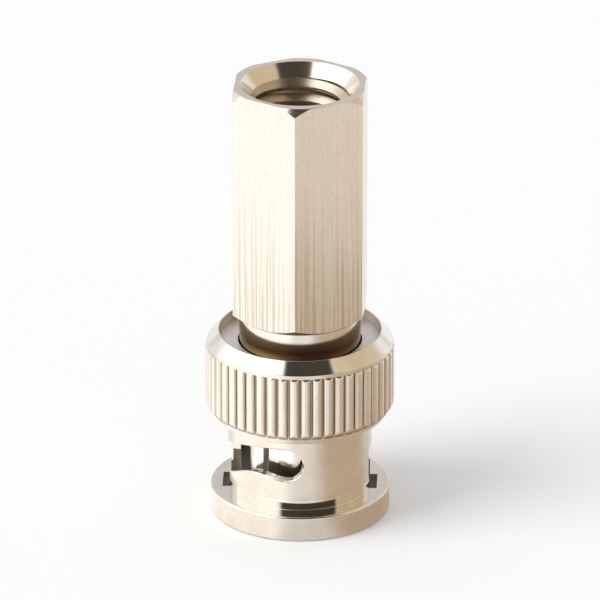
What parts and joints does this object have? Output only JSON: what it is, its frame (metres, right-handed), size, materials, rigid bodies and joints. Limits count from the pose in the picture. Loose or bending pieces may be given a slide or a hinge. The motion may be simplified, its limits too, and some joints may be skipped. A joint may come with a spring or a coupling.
{
  "type": "bnc connector",
  "caption": "Twist-on coaxial cable plug: knurled bayonet coupling nut that turns on a hex-barrelled body, slotted contact sleeve, gold centre pin and threaded cable entry.",
  "frame": {"origin": "centre of the coupling nut's front face, at the bottom of the box", "axes": "+Z runs along the plug's axis from the mating face to the cable end; -Y faces the viewer"},
  "size_m": [0.015, 0.015, 0.0365],
  "materials": {
    "nickel_nut": "turned brass, satin nickel plating, polished bevels",
    "nickel_washer": "stamped brass, nickel plating, fine matte face",
    "steel_washer": "plain stamped steel",
    "spring_steel": "hardened strip",
    "nickel_body": "turned brass, nickel plating",
    "nickel_contact": "spring brass, bright nickel plating",
    "silicone_gasket": "red-brown silicone rubber, matte",
    "insulator": "off-white turned polymer",
    "gold_pin": "gold-plated brass",
    "nickel_hex": "drawn hexagon bar, satin nickel plating with fine draw lines"
  },
  "bodies": {
    "coupling": {"coupling_nut": "nickel_nut", "nut_retainer": "nickel_washer"},
    "washers": {"slip_washer": "steel_washer", "wave_washer_rear": "spring_steel", "wave_washer_front": "spring_steel"},
    "plug_body": {"body_shell": "nickel_body", "outer_contact": "nickel_contact", "face_gasket": "silicone_gasket", "front_insulator": "insulator", "rear_insulator": "insulator", "centre_pin": "gold_pin", "hex_barrel": "nickel_hex"}
  },
  "joints": [
    {"name": "nut_turn", "type": "hinge", "parent": "coupling", "child": "washers", "pos_m": [0, 0, 0], "axis": [0, 0, 1], "continuous": true},
    {"name": "washer_squeeze", "type": "slide", "parent": "washers", "child": "plug_body", "axis": [0, 0, 1], "range_m": [0, 0.001], "stiffness_N_per_m": 2000, "springref_m": -0.001, "deforming": ["wave_washer_rear", "wave_washer_front"]}
  ]
}
